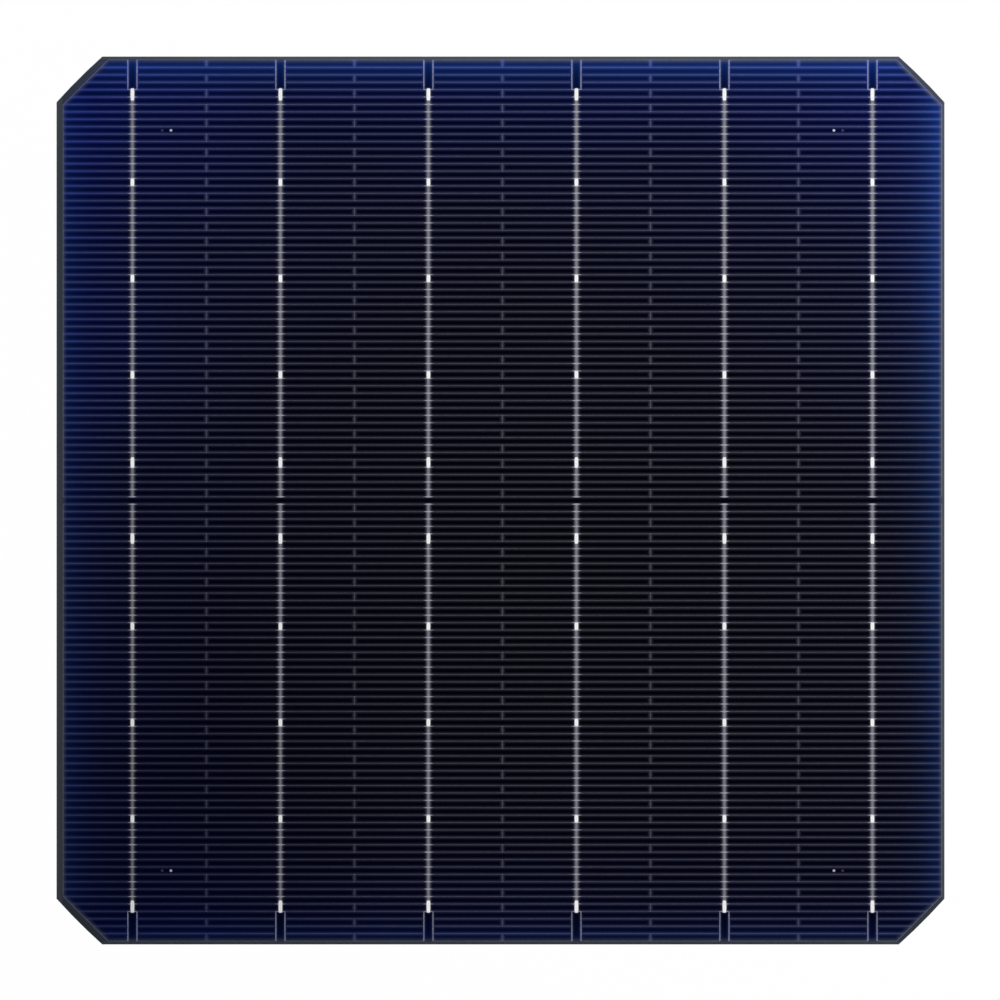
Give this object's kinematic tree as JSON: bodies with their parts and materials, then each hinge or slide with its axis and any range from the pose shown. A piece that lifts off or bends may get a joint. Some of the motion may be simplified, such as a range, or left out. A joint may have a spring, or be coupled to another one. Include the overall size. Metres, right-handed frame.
{
  "type": "solar cell",
  "caption": "Flat pseudo-square monocrystalline silicon solar cell with printed silver fingers, busbars with solder pads and an aluminium rear, laid out for cutting into two half cells.",
  "frame": {"origin": "middle of the rear face, on the surface that the cell lies on", "axes": "+Z towards the sunny side; +Y along the busbars, up in the picture; +X across them, along the cut line"},
  "size_m": [0.166, 0.166, 0.0002],
  "materials": {
    "coated_silicon": "acid-textured silicon under a dark blue anti-reflection coating, satin",
    "silver_fingers": "fired silver paste, matt",
    "silver_busbars": "fired silver paste, satin, bright on the pads",
    "fired_aluminium": "fired aluminium paste, matt grey",
    "rear_silver": "fired silver paste, satin"
  },
  "bodies": {
    "root": {"silicon_wafer": "coated_silicon", "finger_grid_upper": "silver_fingers", "finger_grid_lower": "silver_fingers", "alignment_dots": "silver_fingers", "busbar_upper_1": "silver_busbars", "busbar_upper_2": "silver_busbars", "busbar_upper_3": "silver_busbars", "busbar_upper_4": "silver_busbars", "busbar_upper_5": "silver_busbars", "busbar_upper_6": "silver_busbars", "busbar_lower_1": "silver_busbars", "busbar_lower_2": "silver_busbars", "busbar_lower_3": "silver_busbars", "busbar_lower_4": "silver_busbars", "busbar_lower_5": "silver_busbars", "busbar_lower_6": "silver_busbars", "rear_aluminium_upper": "fired_aluminium", "rear_aluminium_lower": "fired_aluminium", "rear_pads_1": "rear_silver", "rear_pads_2": "rear_silver", "rear_pads_3": "rear_silver", "rear_pads_4": "rear_silver", "rear_pads_5": "rear_silver", "rear_pads_6": "rear_silver"}
  },
  "joints": []
}
